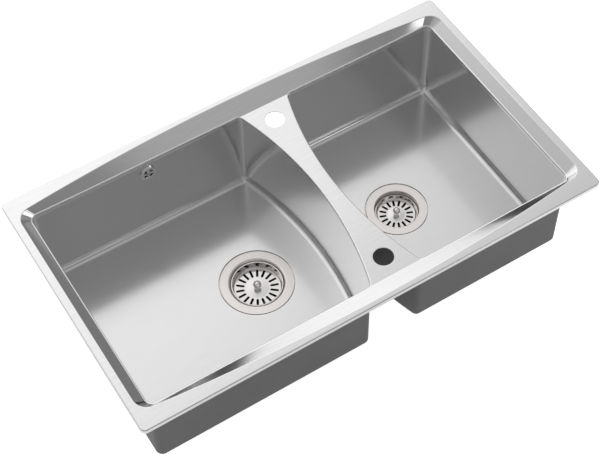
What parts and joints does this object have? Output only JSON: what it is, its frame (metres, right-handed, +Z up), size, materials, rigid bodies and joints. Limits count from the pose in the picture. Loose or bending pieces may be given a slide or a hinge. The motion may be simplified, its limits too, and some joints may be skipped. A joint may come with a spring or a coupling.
{
  "type": "kitchen sink",
  "caption": "Inset stainless steel kitchen sink with a large and a small bowl, a waisted bridge with tap holes, basket strainer wastes and swing clips.",
  "frame": {"origin": "centre of the rim outline in the plane of the worktop, at the bottom of the rim's lip", "axes": "+X along the length from the large bowl to the small one, +Y to the back, +Z up"},
  "size_m": [0.87, 0.5, 0.2885],
  "materials": {
    "deck_steel": "brushed stainless sheet",
    "bowl_steel": "brushed stainless sheet, grey undercoat outside",
    "strainer_steel": "satin stainless pressing",
    "knob_steel": "polished stainless",
    "fastener_steel": "plated steel",
    "clip_steel": "zinc plated",
    "waste_plastic": "moulded white plastic",
    "insert_brass": "turned brass",
    "seal_rubber": "soft black seal",
    "stopper_rubber": "moulded rubber",
    "pad_rubber": "sound mat"
  },
  "bodies": {
    "sink": {"top_deck": "deck_steel", "large_bowl": "bowl_steel", "small_bowl": "bowl_steel", "rim_seal": "seal_rubber", "large_sound_pad": "pad_rubber", "small_sound_pad": "pad_rubber", "overflow_rosette": "strainer_steel", "overflow_screw": "fastener_steel", "overflow_seal": "seal_rubber", "overflow_elbow": "waste_plastic", "clip_brackets": "clip_steel", "clip_bolts": "fastener_steel", "clip_nuts": "fastener_steel", "large_strainer_body": "strainer_steel", "large_flange_seal": "seal_rubber", "large_under_seal": "seal_rubber", "large_waste_body": "waste_plastic", "large_insert": "insert_brass", "large_centre_screw": "fastener_steel", "small_strainer_body": "strainer_steel", "small_flange_seal": "seal_rubber", "small_under_seal": "seal_rubber", "small_waste_body": "waste_plastic", "small_insert": "insert_brass", "small_centre_screw": "fastener_steel"},
    "large_basket_set": {"large_basket": "strainer_steel", "large_basket_knob": "knob_steel", "large_basket_stem": "knob_steel", "large_stopper": "stopper_rubber"},
    "small_basket_set": {"small_basket": "strainer_steel", "small_basket_knob": "knob_steel", "small_basket_stem": "knob_steel", "small_stopper": "stopper_rubber"},
    "clip_1": {"clip_arm_1": "clip_steel"},
    "clip_2": {"clip_arm_2": "clip_steel"},
    "clip_3": {"clip_arm_3": "clip_steel"},
    "clip_4": {"clip_arm_4": "clip_steel"},
    "clip_5": {"clip_arm_5": "clip_steel"},
    "clip_6": {"clip_arm_6": "clip_steel"},
    "clip_7": {"clip_arm_7": "clip_steel"},
    "clip_8": {"clip_arm_8": "clip_steel"}
  },
  "joints": [
    {"name": "large_basket_lift", "type": "slide", "parent": "sink", "child": "large_basket_set", "axis": [0, 0, 1], "range_m": [0, 0.26]},
    {"name": "small_basket_lift", "type": "slide", "parent": "sink", "child": "small_basket_set", "axis": [0, 0, 1], "range_m": [0, 0.26]},
    {"name": "clip_1_swing", "type": "hinge", "parent": "sink", "child": "clip_1", "pos_m": [-0.3215, -0.2182, -0.033], "axis": [0, 0, 1], "range_deg": [0, 90]},
    {"name": "clip_2_swing", "type": "hinge", "parent": "sink", "child": "clip_2", "pos_m": [-0.09, -0.2182, -0.033], "axis": [0, 0, 1], "range_deg": [0, 90]},
    {"name": "clip_3_swing", "type": "hinge", "parent": "sink", "child": "clip_3", "pos_m": [0.25085, -0.2182, -0.033], "axis": [0, 0, 1], "range_deg": [0, 90]},
    {"name": "clip_4_swing", "type": "hinge", "parent": "sink", "child": "clip_4", "pos_m": [0.4125, 0, -0.033], "axis": [0, 0, 1], "range_deg": [0, 90]},
    {"name": "clip_5_swing", "type": "hinge", "parent": "sink", "child": "clip_5", "pos_m": [0.25085, 0.2182, -0.033], "axis": [0, 0, 1], "range_deg": [0, 90]},
    {"name": "clip_6_swing", "type": "hinge", "parent": "sink", "child": "clip_6", "pos_m": [-0.09, 0.2182, -0.033], "axis": [0, 0, 1], "range_deg": [0, 90]},
    {"name": "clip_7_swing", "type": "hinge", "parent": "sink", "child": "clip_7", "pos_m": [-0.3215, 0.2182, -0.033], "axis": [0, 0, 1], "range_deg": [0, 90]},
    {"name": "clip_8_swing", "type": "hinge", "parent": "sink", "child": "clip_8", "pos_m": [-0.4125, 0, -0.033], "axis": [0, 0, 1], "range_deg": [0, 90]}
  ]
}
